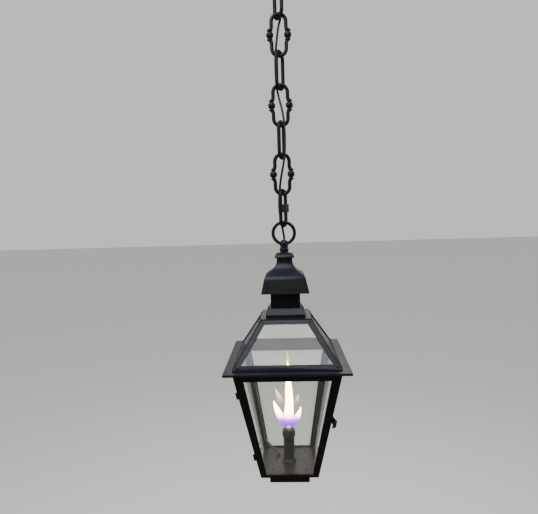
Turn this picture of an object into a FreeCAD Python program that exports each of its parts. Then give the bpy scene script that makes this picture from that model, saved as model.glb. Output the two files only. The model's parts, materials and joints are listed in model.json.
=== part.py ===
import FreeCAD
import Part
import math
import os
import re
import Sketcher
from FreeCAD import Placement, Rotation, Vector

# A gas lantern that hangs from a ceiling canopy on a chain of plain and ornate links.
# Millimetres, +Z up. The origin is the middle of the canopy's flat face against the ceiling.
# Lantern pieces are drawn from the eave plate's top, which hangs eave_drop below the ceiling.

doc = FreeCAD.newDocument("hanging_lantern")
sheet = doc.addObject("Spreadsheet::Sheet", "Sizes")

SIZES = {
    # hanging
    "eave_drop": 885.0,
    "contact_gap": 0.3,
    "wire_radius": 4.0,
    "first_link_drop": 63.1,
    "plain_length": 86.0,
    "plain_bend": 15.0,
    "ornate_length": 95.2,
    "ornate_bend": 15.8,
    "flare_start": 17.0,
    "flare_end": 9.0,
    "flare_half": 19.0,
    "ball_offset": 19.3,
    "ball_radius": 8.0,
    "collar_radius": 6.4,
    "quick_length": 86.6,
    "quick_bend": 13.0,
    "quick_gap_top": 3.0,
    "quick_gap_bottom": 5.0,
    "sleeve_nut_across": 14.0,
    "sleeve_nut_length": 18.0,
    "ring_bend": 23.9,
    "ring_wire": 3.6,
    # canopy
    "canopy_radius": 65.0,
    "canopy_flat": 30.0,
    "canopy_height": 36.0,
    "canopy_rim": 8.0,
    "canopy_dome": 45.0,
    "canopy_sheet": 1.5,
    "bar_length": 104.0,
    "bar_width": 20.0,
    "bar_thick": 3.0,
    "box_screw_spacing": 88.9,
    "box_screw_hole": 2.4,
    "stud_radius": 5.0,
    "stud_length": 46.0,
    "thread_gap": 0.05,
    "loop_bend": 11.5,
    "loop_wire": 3.5,
    "loop_centre_drop": 63.4,
    "loop_socket": 8.5,
    "gas_offset": 20.0,
    "gas_stop_drop": 26.0,
    "supply_bore": 3.2,
    # gas tube
    "tube_radius": 2.4,
    "gland_deep": 27.0,
    "gland_bottom": 190.0,
    "gland_top": 214.0,
    # knob, cap and hood
    "ball_height": 253.6,
    "knob_ball": 9.6,
    "knob_neck": 8.6,
    "knob_bead": 10.4,
    "knob_foot": 235.2,
    "ring_hole": 4.4,
    "cap_half": 21.7,
    "cap_top_half": 9.5,
    "cap_edge": 1.8,
    "cap_bow": 13.0,
    "hood_top": 223.4,
    "hood_rim": 148.4,
    "hood_half": 51.9,
    "shoulder_low_half": 45.4,
    "shoulder_low": 177.5,
    "shoulder_bow": 17.0,
    "shoulder_top_half": 38.5,
    "shoulder_top": 188.3,
    "throat_low_half": 29.0,
    "throat_low": 194.8,
    "throat_bow": 28.2,
    "throat_half": 17.2,
    "throat_top": 218.0,
    "hood_sheet": 1.2,
    "rod_radius": 4.0,
    "nut_across": 13.0,
    "nut_height": 6.0,
    "strap_width": 16.0,
    "strap_thick": 2.5,
    # vent box and skirt
    "vent_half": 32.1,
    "vent_sheet": 1.2,
    "vent_top": 152.0,
    "vent_hole": 2.2,
    "vent_hole_pitch": 21.4,
    "vent_row": 123.0,
    "vent_row_pitch": 11.0,
    "skirt_foot": 95.0,
    "skirt_half": 43.0,
    "skirt_lip": 101.3,
    "skirt_top": 114.2,
    "skirt_top_half": 34.8,
    # roof
    "eave_half": 130.0,
    "eave_sheet": 1.6,
    "eave_lip": 5.0,
    "eave_opening": 106.5,
    "roof_height": 93.1,
    "roof_foot_half": 113.6,
    "roof_head_half": 54.65,
    "trim_sheet": 1.5,
    "trim_start": 1.6,
    "trim_side": 12.0,
    "trim_foot": 12.0,
    "trim_head": 9.5,
    "trim_gap": 1.3,
    "frame_sheet": 3.0,
    "roof_window_foot": 6.0,
    "roof_window_head": 88.0,
    "roof_window_side": 8.0,
    "glass_thick": 2.2,
    # body
    "body_top": 8.6,
    "body_bottom": 253.5,
    "body_top_half": 111.7,
    "body_bottom_half": 62.6,
    "post_sheet": 2.0,
    "window_top": 21.1,
    "window_bottom": 246.1,
    "window_top_half": 89.8,
    "window_bottom_half": 50.2,
    "door_opening_top": 14.0,
    "door_opening_bottom": 250.5,
    "door_opening_top_half": 98.0,
    "door_opening_bottom_half": 55.0,
    "glass_lap": 4.0,
    "door_sheet": 1.6,
    "door_gap": 0.3,
    "door_head": 2.6,
    "barrel_radius": 2.1,
    "pin_radius": 1.0,
    "hinge_length": 14.0,
    "latch_length": 15.0,
    # floor, tray and burner
    "floor_top": 250.0,
    "floor_sheet": 1.6,
    "floor_half": 60.4,
    "tray_half": 44.0,
    "tray_bottom": 276.0,
    "tray_sheet": 1.4,
    "floor_strap_spacing": 37.5,
    "floor_strap_width": 14.0,
    "floor_strap_thick": 1.5,
    "gas_drop_across": 24.0,
    "gas_drop_deep": 22.0,
    "valve_radius": 9.0,
    "valve_height": 264.0,
    "knob_radius": 8.0,
    "stem_radius": 2.5,
    "cup_radius": 15.5,
    "sleeve_radius": 12.3,
    "sleeve_bottom": 240.0,
    "sleeve_top": 174.0,
    "drip_radius": 14.8,
    "drip_height": 17.5,
    "riser_radius": 3.0,
    "tip_radius": 6.5,
    "tip_top": 168.0,
}

for row, (alias, number) in enumerate(SIZES.items(), start=1):
    sheet.set(f"A{row}", alias)
    sheet.set(f"B{row}", str(number))
    sheet.setAlias(f"B{row}", alias)
doc.recompute()

# Slopes of the roof and of the body's four faces: how far a face moves in for each unit of height.
ROOF_LEAN = "((roof_foot_half - roof_head_half) / roof_height)"
ROOF_STRETCH = f"sqrt(1 + {ROOF_LEAN}^2)"
BODY_LEAN = "((body_top_half - body_bottom_half) / (body_bottom - body_top))"
BODY_STRETCH = f"sqrt(1 + {BODY_LEAN}^2)"

# How the chain hangs: each link's kind, and how far its plane is turned from facing front, from the top down.
CHAIN = [
    ("plain_link_1", "plain", -60.0),
    ("ornate_link_1", "ornate", 0.0),
    ("plain_link_2", "plain", 63.0),
    ("ornate_link_2", "ornate", 0.0),
    ("plain_link_3", "plain", 70.0),
    ("ornate_link_3", "ornate", 0.0),
]
LOOP_YAW = 20.0
QUICK_YAW = 65.0

TINY = 1e-3

pieces = []


# ---------------------------------------------------------------- helpers


def bound(formula):
    """The formula with each of its size names pointed at the sheet."""
    return re.sub(r"\b([a-z]\w*)\b(?!\s*\()", r"Sizes.\1", str(formula))


def size(formula):
    return float(sheet.evalExpression(bound(formula)))


def keep(piece, label):
    """Marks an object as one finished piece of the lantern, with its own name."""
    piece.Label = label
    pieces.append(piece)
    return piece


def place(piece, across="0", deep="0", up="-eave_drop", turn=None):
    piece.Placement = Placement(Vector(), turn or Rotation())
    for axis, formula in zip("xyz", (across, deep, up)):
        piece.setExpression(f"Placement.Base.{axis}", bound(formula))
    return piece


def new_body(label, **where):
    body = doc.addObject("PartDesign::Body", label)
    return place(keep(body, label), **where)


def draw(body, plane, lift="0", shift=("0", "0"), lean=0.0):
    """A sketch on one of the body's own planes, moved out by lift and turned in its plane by lean degrees."""
    role = {"top": "XY_Plane", "front": "XZ_Plane", "side": "YZ_Plane"}[plane]
    sketch = body.newObject("Sketcher::SketchObject", body.Name + "_sketch")
    support = next(item for item in body.Origin.OriginFeatures if item.Role == role)
    sketch.AttachmentSupport = (support, [""])
    sketch.MapMode = "FlatFace"
    sketch.AttachmentOffset = Placement(Vector(), Rotation(Vector(0, 0, 1), lean))
    for axis, formula in zip("xyz", (*shift, lift)):
        sketch.setExpression(f"AttachmentOffset.Base.{axis}", bound(formula))
    return sketch


def pin_point(sketch, geometry, point, across, up):
    for kind, formula in (("DistanceX", across), ("DistanceY", up)):
        datum = Sketcher.Constraint(kind, -1, 1, geometry, point, size(formula))
        index = sketch.addConstraint(datum)
        sketch.setExpression(f"Constraints[{index}]", bound(formula))


def outline(sketch, corners, closed=True):
    """Lines and arcs through corners. A corner of four values starts an arc: its radius, and +1 or -1 for a
    bulge to the left or the right of the way the outline runs."""
    spots = [Vector(size(corner[0]), size(corner[1]), 0) for corner in corners]
    count = len(corners) if closed else len(corners) - 1
    ends = []
    indices = []
    for number in range(count):
        start, stop = spots[number], spots[(number + 1) % len(spots)]
        if len(corners[number]) == 2:
            indices.append(sketch.addGeometry(Part.LineSegment(start, stop)))
            ends.append((1, 2))
            continue
        radius, side = size(corners[number][2]), corners[number][3]
        chord = stop - start
        left = Vector(-chord.y, chord.x, 0).normalize()
        sag = math.sqrt(max(0, radius**2 - chord.Length**2 / 4))
        centre = (start + stop) / 2 - left * side * sag
        first, last = (stop, start) if side > 0 else (start, stop)
        angles = [math.atan2(spot.y - centre.y, spot.x - centre.x) for spot in (first, last)]
        circle = Part.Circle(centre, Vector(0, 0, 1), radius)
        index = sketch.addGeometry(Part.ArcOfCircle(circle, *angles))
        indices.append(index)
        ends.append((2, 1) if side > 0 else (1, 2))
        if sag < TINY:
            # A half circle is held by its middle, level with its two ends, since its radius adds nothing.
            level = Sketcher.Constraint("DistanceY", -1, 1, index, 3, centre.y)
            sketch.setExpression(f"Constraints[{sketch.addConstraint(level)}]", bound(corners[number][1]))
            continue
        datum = sketch.addConstraint(Sketcher.Constraint("Radius", index, radius))
        sketch.setExpression(f"Constraints[{datum}]", bound(corners[number][2]))
    for number in range(count if closed else count - 1):
        after = (number + 1) % count
        joint = (indices[number], ends[number][1], indices[after], ends[after][0])
        sketch.addConstraint(Sketcher.Constraint("Coincident", *joint))
    for number in range(count):
        pin_point(sketch, indices[number], ends[number][0], *corners[number][:2])
    if not closed:
        pin_point(sketch, indices[-1], ends[-1][1], *corners[-1][:2])
    return sketch


def disc(sketch, radius, across="0", up="0"):
    spot = Vector(size(across), size(up), 0)
    index = sketch.addGeometry(Part.Circle(spot, Vector(0, 0, 1), size(radius)))
    datum = sketch.addConstraint(Sketcher.Constraint("Radius", index, size(radius)))
    sketch.setExpression(f"Constraints[{datum}]", bound(radius))
    pin_point(sketch, index, 3, across, up)
    return sketch


def rectangle(sketch, left, right, low, high):
    return outline(sketch, [(left, low), (right, low), (right, high), (left, high)])


def square(sketch, half):
    return rectangle(sketch, f"-({half})", half, f"-({half})", half)


def hexagon(sketch, across_flats):
    corner = f"({across_flats}) / sqrt(3)"
    flat = f"({across_flats}) / 2"
    tall = f"({across_flats}) / sqrt(12)"
    corners = [(flat, f"-({tall})"), (flat, tall), ("0", corner)]
    corners += [(f"-({flat})", tall), (f"-({flat})", f"-({tall})"), ("0", f"-({corner})")]
    return outline(sketch, corners)


def feature(body, kind, sketch, **bindings):
    made = body.newObject("PartDesign::" + kind, body.Name + "_" + kind)
    made.Profile = sketch
    for name, formula in bindings.items():
        made.setExpression(name, bound(formula))
    return made


def pad(body, sketch, length, both=False, down=False):
    made = feature(body, "Pad", sketch, Length=length)
    made.SideType = "Symmetric" if both else "One side"
    made.Reversed = down
    return made


def cut(body, sketch, length=None, flip=False):
    """A pocket of the given length, or right through both ways if none is given."""
    made = feature(body, "Pocket", sketch, **({"Length": length} if length else {}))
    made.Type = "Length" if length else "ThroughAll"
    made.SideType = "One side" if length else "Symmetric"
    made.Reversed = flip
    return made


def turn_round(body, sketch, kind="Revolution"):
    made = feature(body, kind, sketch)
    made.ReferenceAxis = (sketch, ["V_Axis"])
    made.Angle = 360
    return made


def square_loft(body, levels, kind="AdditiveLoft"):
    """A square tower through (half width, height) levels."""
    sections = [square(draw(body, "top", lift=height), half) for half, height in levels]
    made = feature(body, kind, sections[0])
    made.Sections = sections[1:]
    made.Ruled = True
    return made


def turned(label, profile, **where):
    """A piece turned on a lathe: profile is its half section, radius across and height up."""
    body = new_body(label, **where)
    turn_round(body, outline(draw(body, "front"), profile))
    return body


def group(label, members, **where):
    """Several solids of one kind that share a name."""
    made = doc.addObject("Part::Compound", label)
    made.Links = members
    return place(keep(made, label), **where)


def solid(label, shape, **where):
    """A piece whose shape is worked out from the sheet's sizes by Part's own functions."""
    made = doc.addObject("Part::Feature", label)
    made.Shape = shape
    return place(keep(made, label), **where)


def quarter(turns):
    return Rotation(Vector(0, 0, 1), 90 * turns)


# ---------------------------------------------------------------- canopy


def build_canopy():
    bar = new_body("ceiling_bar", up="0")
    sketch = draw(bar, "top")
    rectangle(sketch, "-bar_length / 2", "bar_length / 2", "-bar_width / 2", "bar_width / 2")
    disc(sketch, "stud_radius + thread_gap")
    for side in "-", "":
        disc(sketch, "box_screw_hole", f"{side}box_screw_spacing / 2")
    pad(bar, sketch, "bar_thick", down=True)

    inside = "canopy_radius - canopy_sheet"
    shell = turned("canopy_shell", [
        ("canopy_radius", "0"),
        (inside, "0"),
        (inside, "-canopy_rim", "canopy_dome - canopy_sheet", 1),
        ("canopy_flat", "canopy_sheet - canopy_height"),
        ("stud_radius + thread_gap", "canopy_sheet - canopy_height"),
        ("stud_radius + thread_gap", "-canopy_height"),
        ("canopy_flat", "-canopy_height", "canopy_dome", -1),
        ("canopy_radius", "-canopy_rim"),
    ], up="0")
    cut(shell, disc(draw(shell, "top"), "tube_radius + 2", up="gas_offset"))

    turned("canopy_stud", [
        ("0", "0"),
        ("stud_radius", "0"),
        ("stud_radius", "-stud_length"),
        ("0", "-stud_length"),
    ], up="0")

    bar_nut = doc.addObject("PartDesign::Body", "bar_nut")
    sketch = hexagon(draw(bar_nut, "top", lift="-bar_thick"), "17")
    pad(bar_nut, disc(sketch, "stud_radius + thread_gap"), "5", down=True)
    lock_ring = doc.addObject("PartDesign::Body", "lock_ring")
    turn_round(lock_ring, outline(draw(lock_ring, "front"), [
        ("stud_radius + thread_gap", "-canopy_height"),
        ("11", "-canopy_height"),
        ("11", "-canopy_height - 3"),
        ("9", "-canopy_height - 5"),
        ("stud_radius + thread_gap", "-canopy_height - 5"),
    ]))
    group("canopy_nuts", [bar_nut, lock_ring], up="0")

    loop = new_body("canopy_loop", up="0", turn=Rotation(Vector(0, 0, 1), LOOP_YAW))
    socket_top = "-canopy_height - 5"
    turn_round(loop, outline(draw(loop, "front"), [
        ("0", "-stud_length - 6"),
        ("loop_socket - 2", "-stud_length - 6"),
        ("loop_socket", "-stud_length - 3"),
        ("loop_socket", socket_top),
        ("stud_radius + thread_gap", socket_top),
        ("stud_radius + thread_gap", "-stud_length - 0.2"),
        ("0", "-stud_length - 0.2"),
    ]))
    turn_round(loop, disc(draw(loop, "top", lift="-loop_centre_drop"), "loop_wire", "loop_bend"))

    inlet = new_body("gas_inlet", deep="gas_offset", up="0")
    pad(inlet, hexagon(draw(inlet, "top", lift="-gas_stop_drop"), "12"), "gas_stop_drop - 8")
    pad(inlet, disc(draw(inlet, "top", lift="-8.0"), "5.2"), "6.5")
    cut(inlet, disc(draw(inlet, "top", lift="-1.5"), "supply_bore"), "12")

    bush_top = "canopy_sheet - canopy_height + 2"
    turned("canopy_bush", [
        ("tube_radius + 0.1", bush_top),
        ("tube_radius + 4", bush_top),
        ("tube_radius + 4", "canopy_sheet - canopy_height"),
        ("tube_radius + 1.8", "canopy_sheet - canopy_height"),
        ("tube_radius + 1.8", "-canopy_height"),
        ("tube_radius + 4", "-canopy_height"),
        ("tube_radius + 3", "-canopy_height - 2"),
        ("tube_radius + 0.1", "-canopy_height - 2"),
    ], deep="gas_offset", up="0")


# ---------------------------------------------------------------- chain

# Each link rides over the wire of the one above it, which takes two wires and the gap off its length.
HOOK = "(4 * wire_radius + contact_gap)"


def link_top(number):
    """Drop of the outer top of the chain's member of that number, 0 being the first link."""
    taken = "".join(f" + {kind}_length - {HOOK}" for _, kind, _ in CHAIN[:number])
    return "first_link_drop" + taken


def yaw(degrees):
    return Rotation(Vector(0, 0, 1), degrees)


def own_plane(body, role):
    return next(item for item in body.Origin.OriginFeatures if item.Role == role)


def bent_wire(body, path, height, across):
    """A round wire swept along a path that starts upright at this height and this far out."""
    made = feature(body, "AdditivePipe", disc(draw(body, "top", lift=height), "wire_radius", across))
    made.Spine = path
    return made


def mirrored(body, originals):
    """The lower half of a link, copied from its upper half."""
    made = body.newObject("PartDesign::Mirrored", body.Name + "_mirror")
    made.Originals = originals
    made.MirrorPlane = (own_plane(body, "XY_Plane"), [""])
    body.Tip = made


def build_plain_link(label, number, degrees):
    link = new_body(label, up=f"-({link_top(number)} + plain_length / 2)", turn=yaw(degrees))
    straight = "(plain_length / 2 - wire_radius - plain_bend)"
    path = outline(draw(link, "front"), [
        ("plain_bend", "0"),
        ("plain_bend", straight, "plain_bend", -1),
        ("-plain_bend", straight),
        ("-plain_bend", "0"),
    ], closed=False)
    mirrored(link, [bent_wire(link, path, "0", "plain_bend")])


def build_ornate_link(label, number, degrees):
    """Both bars flare outwards to a ball between two collars."""
    link = new_body(label, up=f"-({link_top(number)} + ornate_length / 2)", turn=yaw(degrees))
    straight = "(ornate_length / 2 - wire_radius - ornate_bend)"
    flare = "(flare_half - ornate_bend)"
    fall = "(flare_start - flare_end)"
    sway = f"(({flare}^2 + {fall}^2) / (4 * {flare}))"
    half_way = ("(flare_half + ornate_bend) / 2", "(flare_start + flare_end) / 2")
    path = outline(draw(link, "front"), [
        ("flare_half", "flare_end", sway, -1),
        (*half_way, sway, 1),
        ("ornate_bend", "flare_start"),
        ("ornate_bend", straight, "ornate_bend", -1),
        ("-ornate_bend", straight),
        ("-ornate_bend", "flare_start", sway, 1),
        ("-" + half_way[0], half_way[1], sway, -1),
        ("-flare_half", "flare_end"),
    ], closed=False)
    made = [bent_wire(link, path, "flare_end", "flare_half")]
    for side in "", "-":
        knuckle = outline(draw(link, "front", shift=(f"{side}ball_offset", "0")), [
            ("0", "0"),
            ("ball_radius", "0", "ball_radius", -1),
            ("wire_radius", "sqrt(ball_radius^2 - wire_radius^2)"),
            ("wire_radius", "flare_end - 0.6"),
            ("collar_radius", "flare_end + 0.2"),
            ("collar_radius", "flare_end + 1.4"),
            ("wire_radius", "flare_end + 3"),
            ("0", "flare_end + 3"),
        ])
        made.append(turn_round(link, knuckle))
    mirrored(link, made)


def build_quick_link():
    """An oval link with a gap in one bar, and the threaded sleeve nut that closes it."""
    middle = f"-({link_top(len(CHAIN))} + quick_length / 2)"
    link = new_body("quick_link", up=middle, turn=yaw(QUICK_YAW))
    straight = "(quick_length / 2 - wire_radius - quick_bend)"
    path = outline(draw(link, "front"), [
        ("quick_bend", "quick_gap_top"),
        ("quick_bend", straight, "quick_bend", -1),
        ("-quick_bend", straight),
        ("-quick_bend", f"-{straight}", "quick_bend", -1),
        ("quick_bend", f"-{straight}"),
        ("quick_bend", "-quick_gap_bottom"),
    ], closed=False)
    bent_wire(link, path, "quick_gap_top", "quick_bend")

    nut = new_body("quick_link_nut", up=middle, turn=yaw(QUICK_YAW))
    sketch = hexagon(draw(nut, "top", shift=("quick_bend", "0")), "sleeve_nut_across")
    pad(nut, disc(sketch, "wire_radius + thread_gap"), "sleeve_nut_length", both=True)


def build_chain():
    makers = {"plain": build_plain_link, "ornate": build_ornate_link}
    for number, (label, kind, degrees) in enumerate(CHAIN):
        makers[kind](label, number, degrees)
    build_quick_link()
    ring = new_body("hanging_ring", up="-eave_drop + ball_height + ring_bend")
    turn_round(ring, disc(draw(ring, "top"), "ring_wire", "ring_bend"))


# ---------------------------------------------------------------- knob, cap, hood and vent


def square_turning(label, corners):
    """A square-plan block whose front and side views are both this half outline and its mirror image."""
    other_half = []
    for number in range(len(corners) - 1, -1, -1):
        arc = corners[number - 1][2:] if number else ()
        other_half.append((f"-({corners[number][0]})", corners[number][1], *arc))
    views = {"front": Rotation(Vector(1, 0, 0), 90), "side": Rotation(Vector(1, 1, 1), 120)}
    blocks = []
    for name, turn in views.items():
        sketch = doc.addObject("Sketcher::SketchObject", f"{label}_{name}_view")
        sketch.Placement = Placement(Vector(), turn)
        outline(sketch, corners + other_half)
        block = doc.addObject("Part::Extrusion", f"{label}_{name}_block")
        block.Base = sketch
        block.DirMode = "Normal"
        block.Solid = True
        block.Symmetric = True
        block.setExpression("LengthFwd", bound("3 * hood_half"))
        blocks.append(block)
    common = doc.addObject("Part::Common", label)
    common.Base, common.Tool = blocks
    return common


def bored(label, block, holes):
    """The block with upright round holes, each given as radius, deep, bottom and top."""
    for radius, deep, bottom, top in holes:
        hole = doc.addObject("Part::Cylinder", f"{label}_hole")
        hole.setExpression("Radius", bound(radius))
        hole.setExpression("Height", bound(f"({top}) - ({bottom})"))
        place(hole, deep=deep, up=bottom)
        drilled = doc.addObject("Part::Cut", f"{label}_drilled")
        drilled.Base, drilled.Tool = block, hole
        block = drilled
    return place(keep(block, label))


def hood_profile(inset, low, high):
    """The ogee from the rim up, moved in by inset."""
    return [
        (f"hood_half - {inset}", low),
        (f"shoulder_low_half - {inset}", "shoulder_low", f"shoulder_bow - {inset}", -1),
        (f"shoulder_top_half - 0.6 * {inset}", f"shoulder_top - 0.8 * {inset}"),
        (f"throat_low_half - 0.6 * {inset}", f"throat_low - 0.8 * {inset}", f"throat_bow + {inset}", 1),
        (f"throat_half - {inset}", "throat_top"),
        (f"throat_half - {inset}", high),
    ]


def build_crown():
    knob = turned("hanger_knob", [
        ("0", "ball_height - 7.6"),
        ("rod_radius + thread_gap", "ball_height - 7.6"),
        ("rod_radius + thread_gap", "knob_foot"),
        ("knob_neck + 0.3", "knob_foot"),
        ("knob_neck + 0.3", "knob_foot + 3"),
        ("knob_bead - 0.9", "knob_foot + 3.5", "3.2", -1),
        ("knob_bead - 0.9", "knob_foot + 8"),
        ("knob_neck", "knob_foot + 8.6"),
        ("knob_neck", "ball_height - sqrt(knob_ball^2 - knob_neck^2)", "knob_ball", -1),
        ("0", "ball_height + knob_ball"),
    ])
    ring_height = "ball_height + ring_bend"
    turn_round(knob, disc(draw(knob, "top", lift=ring_height), "ring_hole", "ring_bend"), "Groove")

    cap = square_turning("cap_block", [
        ("cap_half", "hood_top"),
        ("cap_half", "hood_top + cap_edge", "cap_bow", -1),
        ("cap_top_half", "knob_foot"),
    ])
    bored("finial_cap", cap, [("rod_radius + 0.1", "0", "hood_top - 1", "knob_foot + 1")])

    outer = square_turning("hood_outside", hood_profile("0", "hood_rim", "hood_top"))
    inner = square_turning("hood_inside", hood_profile("hood_sheet", "hood_rim - 1", "hood_top - hood_sheet"))
    shell = doc.addObject("Part::Cut", "hood_shell")
    shell.Base, shell.Tool = outer, inner
    bored("hood", shell, [
        ("rod_radius + 0.1", "0", "hood_top - 4", "hood_top + 1"),
        ("tube_radius + 2", "gland_deep", "throat_low - 10", "throat_top"),
    ])

    turned("tube_gland", [
        ("0", "gland_bottom"),
        ("tube_radius + 1.8", "gland_bottom"),
        ("tube_radius + 1.8", "gland_bottom + 15"),
        ("tube_radius + 2.8", "gland_bottom + 15"),
        ("tube_radius + 2.8", "gland_top - 1.5"),
        ("tube_radius + 1.5", "gland_top"),
        ("0", "gland_top"),
    ], deep="gland_deep")

    rod_nut_low = "vent_top - strap_thick - nut_height"
    turned("hanger_rod", [
        ("0", f"{rod_nut_low} - 4"),
        ("rod_radius", f"{rod_nut_low} - 4"),
        ("rod_radius", "ball_height - 7.8"),
        ("0", "ball_height - 7.8"),
    ])
    nuts = []
    for height in (rod_nut_low, "vent_top", "hood_top - hood_sheet - nut_height"):
        nut = doc.addObject("PartDesign::Body", "rod_nut")
        sketch = hexagon(draw(nut, "top", lift=height), "nut_across")
        pad(nut, disc(sketch, "rod_radius + thread_gap"), "nut_height")
        nuts.append(nut)
    group("rod_nuts", nuts)

    strap = new_body("hanger_strap")
    reach = "(vent_half - vent_sheet)"
    sketch = outline(draw(strap, "front"), [
        (f"-{reach}", "vent_top - 16"),
        (f"-{reach} + strap_thick", "vent_top - 16"),
        (f"-{reach} + strap_thick", "vent_top - strap_thick"),
        (f"{reach} - strap_thick", "vent_top - strap_thick"),
        (f"{reach} - strap_thick", "vent_top - 16"),
        (reach, "vent_top - 16"),
        (reach, "vent_top"),
        (f"-{reach}", "vent_top"),
    ])
    pad(strap, sketch, "strap_width", both=True)
    cut(strap, disc(draw(strap, "top"), "rod_radius + 0.1"))

    vent = new_body("vent_box")
    walls = draw(vent, "top", lift="skirt_foot")
    square(walls, "vent_half")
    square(walls, "vent_half - vent_sheet")
    pad(vent, walls, "vent_top - skirt_foot")
    for plane in "front", "side":
        holes = draw(vent, plane)
        for row in range(3):
            steps = (-0.5, 0.5) if row == 1 else (-1, 0, 1)
            for step in steps:
                height = f"vent_row + {row} * vent_row_pitch"
                disc(holes, "vent_hole", f"{step} * vent_hole_pitch", height)
        cut(vent, holes)

    skirt = new_body("vent_skirt")
    square_loft(skirt, [
        ("skirt_half", "skirt_foot"),
        ("skirt_half", "skirt_lip"),
        ("skirt_top_half", "skirt_top"),
    ])
    square_loft(skirt, [
        ("skirt_half - vent_sheet", "skirt_foot"),
        ("skirt_half - vent_sheet", "skirt_lip - vent_sheet / 2"),
        ("skirt_top_half - vent_sheet", "skirt_top - vent_sheet"),
    ], "SubtractiveLoft")
    cut(skirt, square(draw(skirt, "top"), "vent_half + 0.2"))


# ---------------------------------------------------------------- roof


def build_roof():
    eave = new_body("eave_plate")
    flat = draw(eave, "top")
    square(flat, "eave_half")
    square(flat, "eave_opening")
    pad(eave, flat, "eave_sheet", down=True)
    lip = draw(eave, "top", lift="-eave_sheet")
    square(lip, "eave_half")
    square(lip, "eave_half - eave_sheet")
    pad(eave, lip, "eave_lip - eave_sheet", down=True)

    frame = new_body("roof_frame")
    outer = f"(- trim_sheet * {ROOF_STRETCH})"
    inner = f"(- (trim_sheet + frame_sheet) * {ROOF_STRETCH})"
    square_loft(frame, [(f"roof_foot_half + {outer}", "0"), (f"roof_head_half + {outer}", "roof_height")])
    square_loft(frame, [
        (f"roof_foot_half + {inner}", "0"),
        (f"roof_head_half + {inner}", "roof_height"),
    ], "SubtractiveLoft")
    top_plate = draw(frame, "top", lift="roof_height")
    square(top_plate, "roof_head_half")
    square(top_plate, "vent_half - 2")
    pad(frame, top_plate, "skirt_foot - roof_height")
    for plane in "front", "side":
        cut(frame, outline(draw(frame, plane), trapezoid(
            roof_side("roof_window_foot", "roof_window_side"), "roof_window_foot",
            roof_side("roof_window_head", "roof_window_side"), "roof_window_head")))

    slant = f"(roof_height * {ROOF_STRETCH})"
    trims = []
    for side, name in enumerate(SIDES):
        trim = doc.addObject("PartDesign::Body", f"trim_{name}")
        on_slope(trim, side)
        sketch = outline(draw(trim, "top"), trapezoid(
            slope_side("trim_start", "trim_gap"), "trim_start",
            slope_side(f"{slant} - 0.2", "trim_gap"), f"{slant} - 0.2"))
        outline(sketch, trapezoid(
            slope_side("trim_foot", "trim_side"), "trim_start + trim_foot",
            slope_side(f"{slant} - trim_head", "trim_side"), f"{slant} - trim_head"))
        pad(trim, sketch, "trim_sheet", down=True)
        trims.append(trim)
    group("roof_trims", trims, up="0")

    for side, name in enumerate(SIDES):
        pane = new_body(f"roof_glass_{name}")
        on_slope(pane, side)
        low, high = "(trim_start + 8.4)", f"({slant} - 5.8)"
        sketch = outline(draw(pane, "top", lift="-trim_sheet"), trapezoid(
            slope_side(low, "trim_side - 2.4"), low,
            slope_side(high, "trim_side - 2.4"), high))
        pad(pane, sketch, "glass_thick", down=True)


SIDES = ("front", "right", "back", "left")


def trapezoid(low_half, low, high_half, high):
    return [(f"-({low_half})", low), (low_half, low), (high_half, high), (f"-({high_half})", high)]


def roof_side(height, inset):
    """Half width of the roof's metal at a height, inset from the hip along the slope."""
    foot = f"roof_foot_half - trim_sheet * {ROOF_STRETCH}"
    return f"{foot} - ({height}) * {ROOF_LEAN} - ({inset}) * {HIP_STRETCH}"


def slope_side(distance, inset):
    """Half width of the roof's outer face that far up the slope, inset square to the hip."""
    return f"roof_foot_half - ({distance}) * {ROOF_LEAN} / {ROOF_STRETCH} - ({inset}) * {HIP_STRETCH}"


# The hip leans in the face's own plane by the roof's lean over its stretch.
HIP_STRETCH = f"sqrt(1 + ({ROOF_LEAN} / {ROOF_STRETCH})^2)"


def on_slope(piece, side):
    """Lays a flat piece on one roof face: across, up the slope from the eave, and outwards."""
    steep = math.degrees(math.atan2(1, size(ROOF_LEAN)))
    spot = quarter(side).multVec(Vector(0, -size("roof_foot_half"), 0))
    turn = quarter(side).multiply(Rotation(Vector(1, 0, 0), steep))
    place(piece, turn=turn)
    move(piece, spot)


def on_face(piece, side, turn=0.0, spot=(0, 0, 0)):
    """Lays a piece on one tapered body face: across, up the face from the body's top, and outwards."""
    steep = 90 + math.degrees(math.atan(size(BODY_LEAN)))
    face = Placement(Vector(0, -size("body_top_half"), -size("body_top")), Rotation(Vector(1, 0, 0), steep))
    own = Placement(Vector(*spot), Rotation(Vector(0, 0, 1), turn))
    whole = Placement(Vector(), quarter(side)).multiply(face).multiply(own)
    place(piece, turn=whole.Rotation)
    move(piece, whole.Base)


def move(piece, spot):
    """Hangs a placed piece at this spot of the lantern's own frame."""
    piece.Placement.Base = spot
    for axis, value, drop in zip("xyz", spot, ("", "", " - eave_drop")):
        piece.setExpression(f"Placement.Base.{axis}", bound(f"{value:.6f}{drop}"))

# ---------------------------------------------------------------- body, glass and door


def body_half(drop, inset="0"):
    """Half width of the body's outer faces at this drop below the eave."""
    return f"(body_top_half - (({drop}) - body_top) * {BODY_LEAN} - ({inset}))"


def face_side(distance, half, drop):
    """Half width on a face, that far down it, of an opening as wide as half at drop, leaning like its rail."""
    lean = "((window_top_half - window_bottom_half) / (window_bottom - window_top))"
    return f"({half}) - (({distance}) / {BODY_STRETCH} + body_top - ({drop})) * {lean}"


def opening(top_half, top, bottom_half, bottom):
    return trapezoid(bottom_half, f"-({bottom})", top_half, f"-({top})")


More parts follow.
